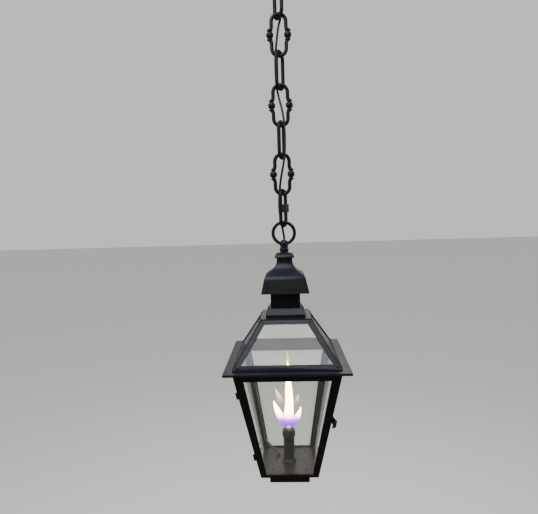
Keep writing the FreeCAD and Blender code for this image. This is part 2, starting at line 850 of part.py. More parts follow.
def build_body():
    frame = new_body("body_frame")
    skin = f"post_sheet * {BODY_STRETCH}"
    levels = [("body_bottom", "body_bottom_half"), ("body_top", "body_top_half")]
    square_loft(frame, [(half, f"-{drop}") for drop, half in levels])
    square_loft(frame, [(f"{half} - {skin}", f"-{drop}") for drop, half in levels], "SubtractiveLoft")
    collar = draw(frame, "top", lift="-body_top")
    square(collar, "body_top_half")
    square(collar, f"body_top_half - {skin}")
    pad(frame, collar, "body_top - eave_sheet")
    base = draw(frame, "top", lift="-body_bottom")
    square(base, "body_bottom_half - 0.2")
    square(base, "tray_half - 3")
    pad(frame, base, "body_bottom - floor_top - floor_sheet")
    window = opening("window_top_half", "window_top", "window_bottom_half", "window_bottom")
    cut(frame, outline(draw(frame, "side"), window))
    cut(frame, outline(draw(frame, "front"), window), "eave_half", flip=False)
    cut(frame, outline(draw(frame, "front"), opening(
        "door_opening_top_half", "door_opening_top",
        "door_opening_bottom_half", "door_opening_bottom")), "eave_half", flip=True)

    # Each pane laps the window's edges and lies on the sheet's inner face.
    pane_top = f"((window_top - body_top) * {BODY_STRETCH} - glass_lap)"
    pane_bottom = f"((window_bottom - body_top) * {BODY_STRETCH} + glass_lap - 0.8)"
    pane = opening(
        face_side(pane_top, "window_top_half + glass_lap", "window_top"), pane_top,
        face_side(pane_bottom, "window_top_half + glass_lap", "window_top"), pane_bottom)
    for side, name in enumerate(SIDES):
        glass = new_body("door_glass" if name == "front" else f"side_glass_{name}")
        on_face(glass, side)
        back = "glass_thick - door_gap" if name == "front" else "post_sheet + glass_thick"
        pad(glass, outline(draw(glass, "top", lift=f"-({back})"), pane), "glass_thick")

    build_glass_clips(pane_top, pane_bottom)


def build_glass_clips(pane_top, pane_bottom):
    """Bent tabs inside the posts, two on each upright edge of the three fixed panes."""
    clips = []
    glass_back = "(post_sheet + glass_thick)"
    for side in (1, 2, 3):
        for share in (0.2, 0.8):
            drop = f"({pane_top} + {share} * ({pane_bottom} - {pane_top}))"
            edge = face_side(drop, "window_top_half + glass_lap", "window_top")
            for hand in (-1, 1):
                clip = doc.addObject("PartDesign::Body", "glass_clip")
                on_face(clip, side, spot=(hand * size(edge), -size(drop), 0))
                steps = [
                    (-3.0, f"-{glass_back} - 1"),
                    (2.4, f"-{glass_back} - 1"),
                    (2.4, "-post_sheet - 1"),
                    (7.0, "-post_sheet - 1"),
                    (7.0, "-post_sheet"),
                    (1.4, "-post_sheet"),
                    (1.4, f"-{glass_back}"),
                    (-3.0, f"-{glass_back}"),
                ]
                profile = [(f"{hand * reach}", depth) for reach, depth in steps]
                pad(clip, outline(draw(clip, "front"), profile), "8", both=True)
                clips.append(clip)
    group("glass_clips", clips, up="0")


# The hinge line runs down the front left corner, just outside it: out from the corner and proud of the
# front face. Drops are measured down the face from the body's top.
HINGE_OUT = 1.9
HINGE_PROUD = 1.4
HINGE_DROPS = (45.0, 196.0)
LATCH_DROP = 113.0
LATCH_BACK = 12.0
LATCH_PROUD = 2.6
LATCH_ASIDE = 30.0
FRONT, RIGHT, BACK, LEFT = range(4)


def face_lean():
    """Angle of a body corner from upright, in a face's own plane."""
    return math.degrees(math.atan(size(f"{BODY_LEAN} / {BODY_STRETCH}")))


def corner_spot(drop, hand):
    """The corner's point in a face's frame: hand is -1 for the face's left edge and 1 for its right."""
    return (hand * (size("body_top_half") - drop * size(f"{BODY_LEAN} / {BODY_STRETCH}")), -drop, 0)


def on_corner(piece, side, hand, drop):
    """A frame with up along the corner, outwards square to the face and its middle on the corner line."""
    on_face(piece, side, turn=-hand * face_lean(), spot=corner_spot(drop, hand))


def corner_frame(side, hand, drop):
    probe = doc.addObject("Part::Feature", "probe")
    on_corner(probe, side, hand, drop)
    frame = probe.Placement
    doc.removeObject(probe.Name)
    return frame


def hinge_axis():
    """Where the hinge line passes the left face's corner frame: towards the front, and outwards."""
    seen = corner_frame(FRONT, -1, HINGE_DROPS[0]).multVec(Vector(-HINGE_OUT, 0, HINGE_PROUD))
    spot = corner_frame(LEFT, 1, HINGE_DROPS[0]).inverse().multVec(seen)
    return spot.x, spot.z


def build_door():
    door = new_body("door_frame")
    on_face(door, FRONT)
    lean = f"{BODY_LEAN} / {BODY_STRETCH}"
    foot = f"((body_bottom - body_top) * {BODY_STRETCH} - 1)"
    sheet_plane = draw(door, "top", lift="door_gap")
    outline(sheet_plane, opening(
        f"body_top_half - 0.4 - door_head * {lean}", "door_head",
        f"body_top_half - 0.4 - {foot} * {lean}", foot))
    window_top = f"((window_top - body_top) * {BODY_STRETCH})"
    window_bottom = f"((window_bottom - body_top) * {BODY_STRETCH})"
    outline(sheet_plane, opening("window_top_half", window_top, "window_bottom_half", window_bottom))
    pad(door, sheet_plane, "door_sheet")
    spin = Rotation(Vector(0, 0, 1), face_lean())
    third = "(hinge_length / 6 - 0.2)"
    for drop in HINGE_DROPS:
        spot = Vector(*corner_spot(drop, -1)) + spin.multVec(Vector(-HINGE_OUT, 0, 0))
        shift = (str(spot.x), str(spot.y))
        tab = draw(door, "top", lift="door_gap", shift=shift, lean=face_lean())
        pad(door, rectangle(tab, "0", f"{HINGE_OUT} + 2", f"-{third}", third), "door_sheet")
        for radius, kind in (("barrel_radius", "Revolution"), ("pin_radius + thread_gap", "Groove")):
            knuckle = draw(door, "top", lift=f"{HINGE_PROUD}", shift=shift, lean=face_lean())
            turn_round(door, rectangle(knuckle, "0", radius, f"-{third}", third), kind)
        for rise in (-8, 8):
            rivet = spot + spin.multVec(Vector(HINGE_OUT + 8, rise, 0))
            head = draw(door, "top", lift="door_gap + door_sheet", shift=(str(rivet.x), str(rivet.y)))
            pad(door, disc(head, "2.2"), "0.9")


def build_leaves():
    """Fixed halves of the two hinges and of the latch: a leaf on the post, two end barrels and their pin."""
    across, proud = hinge_axis()
    leaves = []
    for side, hand, drop, axis, plate, length in (
        (LEFT, 1, HINGE_DROPS[0], (across, proud), (-16.0, across), "hinge_length"),
        (LEFT, 1, HINGE_DROPS[1], (across, proud), (-16.0, across), "hinge_length"),
        (RIGHT, -1, LATCH_DROP, (LATCH_BACK, LATCH_PROUD), (LATCH_BACK, 24.0), "latch_length"),
    ):
        leaf = doc.addObject("PartDesign::Body", "fixed_leaf")
        on_corner(leaf, side, hand, drop)
        # The front plane's outward side is the leaf frame's down, so its upright runs along z.
        flat = rectangle(draw(leaf, "front"), f"{plate[0]}", f"{plate[1]}", "0", "1")
        pad(leaf, flat, length, both=True)
        centre = (f"{axis[0]}", f"{axis[1]}")
        pad(leaf, disc(draw(leaf, "front"), "barrel_radius", *centre), length, both=True)
        reach = "(barrel_radius + 0.4)"
        gap = rectangle(
            draw(leaf, "front"), f"{axis[0]} - {reach}", f"{axis[0]} + {reach}",
            f"{axis[1]} - {reach}", f"{axis[1]} + {reach}")
        slot = feature(leaf, "Pocket", gap, Length=f"{length} / 3")
        slot.SideType = "Symmetric"
        pad(leaf, disc(draw(leaf, "front"), "pin_radius", *centre), length, both=True)
        leaves.append(leaf)
    group("fixed_leaves", leaves, up="0")


def build_latch():
    """A hooked clasp on the right post that folds over the door's edge and swings away sideways."""
    latch = new_body("door_latch")
    # It rests swung aside about its pin, so the door is free; turned back by as much, it is shut.
    corner = corner_frame(RIGHT, -1, LATCH_DROP)
    aside = corner.Rotation.multiply(Rotation(Vector(0, 1, 0), LATCH_ASIDE))
    pin = Vector(LATCH_BACK, 0, LATCH_PROUD)
    place(latch, turn=aside)
    move(latch, corner.multVec(pin) - aside.multVec(pin))
    centre = (f"{LATCH_BACK}", f"{LATCH_PROUD}")
    third = "(latch_length / 3 - 0.4)"
    hook = outline(draw(latch, "front"), [
        ("-4.4", "-6"),
        ("-3", "-6"),
        ("-3", f"{LATCH_PROUD} - 0.7"),
        (f"{LATCH_BACK} - barrel_radius - 0.5", f"{LATCH_PROUD} - 0.7"),
        (f"{LATCH_BACK} - barrel_radius - 0.5", f"{LATCH_PROUD} + 0.7"),
        ("-3", f"{LATCH_PROUD} + 0.7", "1.4", -1),
        ("-4.4", f"{LATCH_PROUD} - 0.7"),
    ])
    pad(latch, hook, "latch_length", both=True)
    neck = rectangle(
        draw(latch, "front"), "2", f"{LATCH_BACK}", f"{LATCH_PROUD} - 0.7", f"{LATCH_PROUD} + 0.7")
    pad(latch, neck, third, both=True)
    pad(latch, disc(draw(latch, "front"), "barrel_radius", *centre), third, both=True)
    cut(latch, disc(draw(latch, "front"), "pin_radius + thread_gap", *centre))


# ---------------------------------------------------------------- floor, tray and burner


def build_floor():
    plate = new_body("floor_plate")
    sketch = draw(plate, "top", lift="-floor_top")
    square(sketch, "floor_half")
    disc(sketch, "riser_radius + 0.3")
    disc(sketch, "tube_radius + 0.6", "-gas_drop_across", "gas_drop_deep")
    pad(plate, sketch, "floor_sheet", down=True)

    straps = []
    screws = []
    for side in "-", "":
        strap = doc.addObject("PartDesign::Body", "floor_strap")
        sketch = draw(strap, "top", lift="-floor_top")
        middle = f"{side}floor_strap_spacing"
        rectangle(
            sketch, f"{middle} - floor_strap_width / 2", f"{middle} + floor_strap_width / 2",
            "-floor_half + 2", "floor_half - 2")
        pad(strap, sketch, "floor_strap_thick")
        straps.append(strap)
        for end in "-", "":
            spot = (size(middle), size(f"{end}floor_strap_spacing"), size("floor_strap_thick - floor_top"))
            screws.append(screw(Placement(Vector(*spot), Rotation()), "2.6"))
    group("floor_straps", straps)

    tray = new_body("burner_tray")
    sketch = draw(tray, "top", lift="-body_bottom")
    pad(tray, square(sketch, "tray_half"), "tray_bottom - body_bottom", down=True)
    hollow = square(draw(tray, "top", lift="-body_bottom"), "tray_half - tray_sheet")
    cut(tray, hollow, "tray_bottom - body_bottom - tray_sheet")
    vents = draw(tray, "top", lift="-tray_bottom")
    for across in (-1, 1):
        for deep in (-1, 1):
            disc(vents, "4", f"{across} * 26", f"{deep} * 26")
    cut(tray, vents)
    stem_hole = disc(draw(tray, "front"), "stem_radius + thread_gap", up="-valve_height")
    cut(tray, stem_hole, "tray_half + 2", flip=False)

    return screws


def screw(spot, radius):
    """A low round head with a slot of shade left to its finish, seated on a face."""
    head = doc.addObject("PartDesign::Body", "screw")
    turn_round(head, outline(draw(head, "front"), [
        ("0", "0"),
        (radius, "0"),
        (radius, "0.5", f"({radius}^2 + 1.1^2) / 2.2", -1),
        ("0", "1.6"),
    ]))
    head.Placement = spot
    return head


def build_screws(floor_screws):
    screws = list(floor_screws)
    slant = f"(roof_height * {ROOF_STRETCH})"
    steep = math.degrees(math.atan2(1, size(ROOF_LEAN)))
    for side in range(4):
        foot = Placement(Vector(0, -size("roof_foot_half"), 0), Rotation(Vector(1, 0, 0), steep))
        face = Placement(Vector(), quarter(side)).multiply(foot)
        for distance in ("trim_start + trim_foot / 2", f"{slant} - trim_head / 2 - 0.4"):
            half = size(slope_side(distance, "trim_side / 2"))
            for hand in (-1, 1):
                spot = Placement(Vector(hand * half, size(distance), 0), Rotation())
                screws.append(screw(face.multiply(spot), "1.9"))
    group("panel_screws", screws)


def build_burner():
    valve = turned("gas_valve", [
        ("0", "-valve_height - 8"),
        ("valve_radius - 1", "-valve_height - 8"),
        ("valve_radius", "-valve_height - 7"),
        ("valve_radius", "-valve_height + 7"),
        ("riser_radius + 2", "-valve_height + 9"),
        ("riser_radius + 2", "-floor_top - floor_sheet"),
        ("0", "-floor_top - floor_sheet"),
    ])
    boss = disc(draw(valve, "front"), "stem_radius + 2.5", up="-valve_height")
    pad(valve, boss, "28", down=True)

    knob = new_body("valve_knob", deep="28.2", up="-eave_drop - valve_height")
    pad(knob, disc(draw(knob, "front"), "stem_radius"), "tray_half - 26", down=True)
    grip = disc(draw(knob, "front", lift="26 - tray_half"), "knob_radius")
    pad(knob, grip, "4", down=True)
    bar = rectangle(
        draw(knob, "front", lift="22 - tray_half"), "-knob_radius + 0.5", "knob_radius - 0.5", "-1.6", "1.6")
    pad(knob, bar, "6", down=True)

    turned("burner_cup", [
        ("riser_radius + 0.1", "-floor_top"),
        ("cup_radius", "-floor_top"),
        ("cup_radius", "-floor_top + 4"),
        ("sleeve_radius + 1", "-sleeve_bottom - 3"),
        ("sleeve_radius + 1", "-sleeve_bottom"),
        ("riser_radius + 0.1", "-sleeve_bottom"),
    ])

    turned("candle_sleeve", [
        ("sleeve_radius - 1.2", "-sleeve_bottom"),
        ("sleeve_radius", "-sleeve_bottom"),
        ("sleeve_radius", "-sleeve_top - drip_height"),
        ("drip_radius - 0.8", "-sleeve_top - drip_height + 1"),
        ("drip_radius", "-sleeve_top - drip_height + 5"),
        ("drip_radius - 0.4", "-sleeve_top - 3"),
        ("drip_radius - 2", "-sleeve_top"),
        ("tip_radius + 0.4", "-sleeve_top"),
        ("tip_radius + 0.4", "-sleeve_top - 1.2"),
        ("sleeve_radius - 1.2", "-sleeve_top - 1.2"),
    ])

    turned("burner_tip", [
        ("0", "-floor_top - floor_sheet"),
        ("riser_radius", "-floor_top - floor_sheet"),
        ("riser_radius", "-sleeve_top - 6"),
        ("tip_radius - 1.5", "-sleeve_top - 4"),
        ("tip_radius - 1.5", "-sleeve_top"),
        ("tip_radius", "-tip_top - 1.5"),
        ("tip_radius - 0.6", "-tip_top"),
        ("0", "-tip_top"),
    ])


# ---------------------------------------------------------------- gas tube and inner line

# Gas enters at the canopy, and its soft copper tube weaves down through the chain to the gland in the
# hood's back. Points of its route: across, deep, and height above the eave.
ROUTE = [
    (0, 20, 859),
    (0, 20, 838),
    (6, 14, 800),
    (7, 11, 770),
    (5.5, 11.2, 745),
    (-0.5, 9, 728),
    (-4.5, 8.5, 700),
    (-8.5, 9, 668),
    (-9.5, 9, 630),
    (-7.5, 9.5, 596),
    (-3, 4, 572),
    (3.5, -4, 545),
    (7, -9.5, 519),
    (8, -9, 482),
    (6.5, -11, 447),
    (2.5, -6.5, 425),
    (-3.5, 4, 398),
    (-7, 9, 372),
    (-9.5, 8.5, 335),
    (-5.5, 10.5, 301),
    (-1, 14.2, 280),
    (1, 18, 262),
    (0.5, 28, 240),
    (0, 27, 225),
    (0, 27, 214),
]
# The tube is drawn in stretches that meet in the middle of these runs, one for each joint of the chain.
SEAMS = [2, 5, 7, 10, 12, 15, 17, 19]
ARC_SHARE = 0.45


def lantern_spot(point):
    return Vector(point[0], point[1], point[2] - size("eave_drop"))


def bends(route):
    """Each inner point's tangent points and arc middle, with the radius its two runs allow."""
    made = []
    for before, corner, after in zip(route, route[1:], route[2:]):
        back, on = (before - corner), (after - corner)
        half_turn = (math.pi - back.getAngle(on)) / 2
        reach = ARC_SHARE * min(back.Length, on.Length)
        radius = reach / math.tan(half_turn)
        start = corner + back.normalize() * reach
        stop = corner + on.normalize() * reach
        inward = ((start + stop) / 2 - corner).normalize()
        middle = corner + inward * (radius / math.cos(half_turn) - radius)
        made.append((start, middle, stop, radius))
    return made


def round_tube(start, corners, stop, radius):
    """A solid tube along straight runs and tangent arcs."""
    edges = []
    here = start
    for first, middle, last, _ in corners:
        edges.append(Part.LineSegment(here, first).toShape())
        edges.append(Part.Arc(first, middle, last).toShape())
        here = last
    edges.append(Part.LineSegment(here, stop).toShape())
    path = Part.Wire(edges)
    heading = (edges[0].Vertexes[1].Point - edges[0].Vertexes[0].Point).normalize()
    section = Part.Wire(Part.Circle(start, heading, radius).toShape())
    tube = path.makePipeShell([section], True, False)
    share = tube.Volume / (math.pi * radius**2 * path.Length)
    return tube, path.Length, share


def build_tube():
    radius = size("tube_radius")
    route = [lantern_spot(point) for point in ROUTE]
    corners = bends(route)
    starts = [0] + [seam + 1 for seam in SEAMS]
    cuts = [route[0]] + [(route[seam] + route[seam + 1]) / 2 for seam in SEAMS] + [route[-1]]
    total = 0.0
    for number, (start, stop) in enumerate(zip(cuts, cuts[1:]), start=1):
        first = starts[number - 1]
        last = SEAMS[number - 1] if number <= len(SEAMS) else len(route) - 2
        own = corners[max(first, 1) - 1:last]
        tube, length, share = round_tube(start, own, stop, radius)
        total += length
        radii = ", ".join(f"{corner[3]:.0f}" for corner in own)
        print(
            f"gas_tube_{number}: {length:.1f} long, bend radii {radii}, "
            f"volume over section x length {share:.4f}")
        solid(f"gas_tube_{number}", tube, up="0")
    print(f"gas tube in all: {total:.1f} long")


# The rigid line inside: down through the vent, along the back left hip and post, and to the valve.
LINE_ROUTE = [
    (0, 27, 190),
    (0, 27, 88),
    (-50, 56, 66),
    (-98, 98, 4),
    (-57.5, 57.5, -228),
    (-40, 36, -237),
    (-24, 22, -241),
    (-24, 22, -262),
    (-6.6, 6.1, -264),
]
LINE_BEND = 11.0


def build_gas_line():
    route = [lantern_spot(point) for point in LINE_ROUTE]
    made = []
    for before, corner, after in zip(route, route[1:], route[2:]):
        back, on = (before - corner), (after - corner)
        half_turn = (math.pi - back.getAngle(on)) / 2
        reach = min(LINE_BEND * math.tan(half_turn), ARC_SHARE * min(back.Length, on.Length))
        start = corner + back.normalize() * reach
        stop = corner + on.normalize() * reach
        radius = reach / math.tan(half_turn)
        inward = ((start + stop) / 2 - corner).normalize()
        made.append((start, corner + inward * (radius / math.cos(half_turn) - radius), stop, radius))
    tube, length, share = round_tube(route[0], made, route[-1], size("tube_radius"))
    print(f"gas_line: {length:.1f} long, volume over section x length {share:.4f}")
    solid("gas_line", tube, up="0")


# ---------------------------------------------------------------- whole lantern


def build_all():
    build_canopy()
    build_chain()
    build_tube()
    build_crown()
    build_gas_line()
    build_roof()
    build_body()
    build_door()
    build_leaves()
    build_latch()
    build_screws(build_floor())
    build_burner()


def check_and_write():
    doc.recompute()
    faults = [item.Name for item in doc.Objects if {"Invalid", "Error"} & set(item.State)]
    faults += [piece.Label for piece in pieces if piece.Shape.isNull() or not piece.Shape.isValid()]
    if faults:
        raise SystemExit(f"failed pieces: {sorted(set(faults))}")
    if len({piece.Label for piece in pieces}) != len(pieces):
        raise SystemExit("two pieces share a name")
    os.makedirs("parts", exist_ok=True)
    for piece in pieces:
        piece.Shape.exportStep(f"parts/{piece.Label}.step")
    print(f"{len(pieces)} pieces written")


build_all()
check_and_write()
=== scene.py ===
# %% [markdown]
# # A hanging gas lantern
# The lantern hangs from a ceiling canopy on a chain of plain and cast ornamental links. A soft copper gas
# tube weaves down through the chain to a gland in the hood. The lantern itself is folded sheet metal with a
# black powder coat, four tapered panes, a glazed hipped roof and a vented hood over it.
# The measured frame comes in first: every piece below takes its place from it.

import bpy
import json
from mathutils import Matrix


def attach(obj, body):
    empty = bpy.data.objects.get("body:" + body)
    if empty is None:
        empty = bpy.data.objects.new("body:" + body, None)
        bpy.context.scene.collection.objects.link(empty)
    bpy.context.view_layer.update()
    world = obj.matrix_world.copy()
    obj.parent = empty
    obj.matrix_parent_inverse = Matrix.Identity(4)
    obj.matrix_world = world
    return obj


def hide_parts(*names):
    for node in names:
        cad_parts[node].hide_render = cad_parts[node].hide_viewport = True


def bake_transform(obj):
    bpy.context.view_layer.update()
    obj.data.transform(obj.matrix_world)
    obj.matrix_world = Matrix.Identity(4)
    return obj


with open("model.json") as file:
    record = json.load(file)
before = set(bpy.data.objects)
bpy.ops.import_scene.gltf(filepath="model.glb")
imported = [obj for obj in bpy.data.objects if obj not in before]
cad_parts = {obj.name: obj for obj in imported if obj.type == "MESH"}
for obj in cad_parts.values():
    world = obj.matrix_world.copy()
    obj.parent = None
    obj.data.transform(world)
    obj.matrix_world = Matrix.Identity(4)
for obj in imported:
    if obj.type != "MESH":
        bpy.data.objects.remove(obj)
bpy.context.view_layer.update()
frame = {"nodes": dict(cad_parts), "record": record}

# %% Tools and sizes used all through
import json
import math

import bmesh
import bpy
from mathutils import Matrix, Quaternion, Vector

MM = 0.001
EAVE_DROP = 0.885
nodes_by_name = frame["nodes"]


def from_eave(across, deep, height):
    """A point given in millimetres from the middle of the eave plate's top."""
    return Vector((across * MM, deep * MM, height * MM - EAVE_DROP))


# %% [markdown]
# ## Camera
# A camera is placed by three directions: right, up and back. The lantern is seen from slightly above the
# roof, almost square on, with the chain running out of the top of the view. A small turn about the viewing
# direction makes the chain lean, as it does when the camera is held by hand.

# %% Place the camera
PITCH_DOWN = math.radians(4.31)
TURN_LEFT = math.radians(2.14)
ROLL = math.radians(1.6)
FOCAL_LENGTH = 29.17
SENSOR_WIDTH = 36.0

level_right = Vector((math.cos(TURN_LEFT), math.sin(TURN_LEFT), 0))
level_ahead = Vector((-math.sin(TURN_LEFT), math.cos(TURN_LEFT), 0))
ahead = level_ahead * math.cos(PITCH_DOWN) - Vector((0, 0, math.sin(PITCH_DOWN)))
level_up = level_right.cross(ahead)
right = level_right * math.cos(ROLL) - level_up * math.sin(ROLL)
up = level_right * math.sin(ROLL) + level_up * math.cos(ROLL)
camera_data = bpy.data.cameras.new("camera")
camera_data.sensor_width = SENSOR_WIDTH
camera_data.lens = FOCAL_LENGTH
camera = bpy.data.objects.new("camera", camera_data)
bpy.context.scene.collection.objects.link(camera)
place = Matrix((right, up, -ahead)).transposed().to_4x4()
place.translation = from_eave(2.0, -974.7, 298.3)
camera.matrix_world = place
bpy.context.scene.camera = camera
print("lens", round(camera_data.lens, 2), "mm")

# %% [markdown]
# ## The gas tube
# Soft copper tube, 4.8 mm across, bends by hand and keeps its shape. It could be one swept curve, but the
# chain has a joint at each link, so the tube is nine short meshes that meet exactly at the joints. All nine
# follow one smooth NURBS line through the route's points.

# %% Draw the tube's line
TUBE_DIAMETER = 4.8 * MM
TUBE_ROUTE = [
    (0.0, 0.02, -0.026),
    (0.0, 0.02, -0.047),
    (0.006, 0.014, -0.085),
    (0.007, 0.011, -0.115),
    (0.0055, 0.0112, -0.14),
    (-0.0005, 0.009, -0.157),
    (-0.0045, 0.0085, -0.185),
    (-0.0085, 0.009, -0.217),
    (-0.0095, 0.009, -0.255),
    (-0.0075, 0.0095, -0.289),
    (-0.003, 0.004, -0.313),
    (0.0035, -0.004, -0.34),
    (0.007, -0.0095, -0.366),
    (0.008, -0.009, -0.403),
    (0.0065, -0.011, -0.438),
    (0.0025, -0.0065, -0.46),
    (-0.0035, 0.004, -0.487),
    (-0.007, 0.009, -0.513),
    (-0.0095, 0.0085, -0.55),
    (-0.0055, 0.0105, -0.584),
    (-0.001, 0.0142, -0.605),
    (0.001, 0.018, -0.623),
    (0.0005, 0.028, -0.645),
    (0.0, 0.027, -0.66),
    (0.0, 0.027, -0.671),
]
POINTS_PER_RUN = 12

route_curve = bpy.data.curves.new("tube_route", "CURVE")
route_curve.dimensions = "3D"
spline = route_curve.splines.new("NURBS")
spline.points.add(len(TUBE_ROUTE) - 1)
for control, spot in zip(spline.points, TUBE_ROUTE):
    control.co = (*spot, 1)
spline.order_u = 3
spline.use_endpoint_u = True
spline.resolution_u = POINTS_PER_RUN
route_object = bpy.data.objects.new("tube_route", route_curve)
bpy.context.scene.collection.objects.link(route_object)
line_mesh = bpy.data.meshes.new_from_object(route_object)
tube_line = [vertex.co.copy() for vertex in line_mesh.vertices]
bpy.data.objects.remove(route_object)
print("tube line", len(tube_line), "points,",
      round(sum((b - a).length for a, b in zip(tube_line, tube_line[1:])), 4), "m")

# %% Cut the line at the chain's joints
CHAIN_BODIES = [
    "canopy", "plain_link_1", "ornate_link_1", "plain_link_2", "ornate_link_2", "plain_link_3",
    "ornate_link_3", "quick_link", "ring", "lantern",
]
SEAM_HEIGHTS = [-0.1, -0.171, -0.236, -0.3265, -0.3845, -0.4735, -0.5315, -0.5945]
RING_CORNERS = 16


def split_line(line, heights):
    """Stretches of a falling line between the given heights, each ending exactly where the next starts."""
    stretches = [[line[0]]]
    waiting = list(heights)
    for here, after in zip(line, line[1:]):
        while waiting and after.z <= waiting[0]:
            share = (here.z - waiting[0]) / (here.z - after.z)
            seam = here.lerp(after, share)
            if (seam - stretches[-1][-1]).length > 1e-6:
                stretches[-1].append(seam)
            stretches.append([stretches[-1][-1]])
            waiting.pop(0)
        if (after - stretches[-1][-1]).length > 1e-6:
            stretches[-1].append(after)
    return stretches


def new_piece(name, bm, smooth=True):
    """A finished bmesh as an object of its own."""
    bmesh.ops.recalc_face_normals(bm, faces=bm.faces)
    mesh = bpy.data.meshes.new(name)
    bm.to_mesh(mesh)
    bm.free()
    for face in mesh.polygons:
        face.use_smooth = smooth
    piece = bpy.data.objects.new(name, mesh)
    bpy.context.scene.collection.objects.link(piece)
    return piece


def swept_tube(bm, line, radius):
    """Rings of vertices along a line, closed at both ends."""
    directions = [(b - a).normalized() for a, b in zip([line[0]] + line[:-1], line[1:] + [line[-1]])]
    side = directions[0].orthogonal().normalized()
    turns = [2 * math.pi * corner / RING_CORNERS for corner in range(RING_CORNERS)]
    rings = []
    for spot, heading in zip(line, directions):
        side = (side - heading * side.dot(heading)).normalized()
        other = heading.cross(side)
        rings.append([
            bm.verts.new(spot + radius * (side * math.cos(turn) + other * math.sin(turn))) for turn in turns])
    for low, high in zip(rings, rings[1:]):
        for corner in range(RING_CORNERS):
            after = (corner + 1) % RING_CORNERS
            bm.faces.new((low[corner], low[after], high[after], high[corner]))
    bm.faces.new(rings[0])
    bm.faces.new(list(reversed(rings[-1])))


tube_pieces = []
stretches = split_line(tube_line, SEAM_HEIGHTS)
for number, stretch in enumerate(stretches, start=1):
    bm = bmesh.new()
    swept_tube(bm, stretch, TUBE_DIAMETER / 2)
    tube = new_piece(f"tube_stretch_{number}", bm)
    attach(tube, CHAIN_BODIES[number])
    tube.parent = None
    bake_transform(tube)
    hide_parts(f"gas_tube_{number}")
    tube_pieces.append(tube)

# %% [markdown]
# ## Surface effects shared by several finishes
# Powder coat, blackened steel and old copper are told apart by a few effects: a fine orange-peel grain, paint
# worn thin on outside edges, and a pale film where a face looks up, which is settled dust and, on the black
# metals, a painted bluish reflection of the sky above. Each is a node group, built once and placed in every
# material with that material's own values.

# %% Node group helpers


def new_group(name, inputs, outputs):
    """An empty shader node group with named sockets. Each is a name, a socket kind and a starting value."""
    tree = bpy.data.node_groups.new(name, "ShaderNodeTree")
    for socket_name, kind, value in inputs:
        socket = tree.interface.new_socket(name=socket_name, in_out="INPUT", socket_type="NodeSocket" + kind)
        if value is not None:
            socket.default_value = value
    for socket_name, kind in outputs:
        tree.interface.new_socket(name=socket_name, in_out="OUTPUT", socket_type="NodeSocket" + kind)
    return tree, tree.nodes.new("NodeGroupInput"), tree.nodes.new("NodeGroupOutput")


def add_node(tree, kind, inputs=None, **settings):
    """A node with its settings, and with each named input either joined to a socket or given a value."""
    node = tree.nodes.new("ShaderNode" + kind)
    for name, value in settings.items():
        setattr(node, name, value)
    for name, value in (inputs or {}).items():
        if isinstance(value, bpy.types.NodeSocket):
            tree.links.new(value, node.inputs[name])
        else:
            node.inputs[name].default_value = value
    return node


def add_ramp(tree, factor, stops):
    """A colour ramp through (position, colour) stops."""
    node = add_node(tree, "ValToRGB", {"Fac": factor})
    ramp = node.color_ramp
    while len(ramp.elements) < len(stops):
        ramp.elements.new(0.5)
    for element, (position, colour) in zip(ramp.elements, stops):
        element.position = position
        element.color = (*colour, 1) if len(colour) == 3 else colour
    return node


def add_range(tree, value, low, high, to_low=0.0, to_high=1.0):
    """Carries a value from one range to another, held at both ends."""
    return add_node(tree, "MapRange", {
        "Value": value, "From Min": low, "From Max": high, "To Min": to_low, "To Max": to_high,
    }).outputs["Result"]


# %% Grain: orange peel and faint cloudiness
grain, grain_in, grain_out = new_group(
    "sprayed_grain",
    [("Place", "Vector", None), ("Fine Scale", "Float", 700.0), ("Cloud Scale", "Float", 18.0)],
    [("Height", "Float"), ("Cloud", "Float")])
fine = add_node(grain, "TexNoise", {
    "Vector": grain_in.outputs["Place"], "Scale": grain_in.outputs["Fine Scale"],
    "Detail": 3.0, "Roughness": 0.6})
cloud = add_node(grain, "TexNoise", {
    "Vector": grain_in.outputs["Place"], "Scale": grain_in.outputs["Cloud Scale"],
    "Detail": 4.0, "Roughness": 0.55})
grain.links.new(fine.outputs["Fac"], grain_out.inputs["Height"])
grain.links.new(add_range(grain, cloud.outputs["Fac"], 0.3, 0.7), grain_out.inputs["Cloud"])
print("made", grain.name)

# %% Edge wear: outside edges rubbed thin, broken up by noise
wear, wear_in, wear_out = new_group(
    "edge_wear",
    [("Place", "Vector", None), ("Amount", "Float", 0.5), ("Break Up", "Float", 120.0)],
    [("Mask", "Float")])
shape_node = add_node(wear, "NewGeometry")
outside = add_range(wear, shape_node.outputs["Pointiness"], 0.52, 0.62)
patches = add_node(wear, "TexNoise", {
    "Vector": wear_in.outputs["Place"], "Scale": wear_in.outputs["Break Up"], "Detail": 3.0})
patchy = add_range(wear, patches.outputs["Fac"], 0.42, 0.62)
both = add_node(wear, "Math", operation="MULTIPLY")
wear.links.new(outside, both.inputs[0])
wear.links.new(patchy, both.inputs[1])
scaled = add_node(wear, "Math", operation="MULTIPLY")
wear.links.new(both.outputs[0], scaled.inputs[0])
wear.links.new(wear_in.outputs["Amount"], scaled.inputs[1])
wear.links.new(scaled.outputs[0], wear_out.inputs["Mask"])
print("made", wear.name)
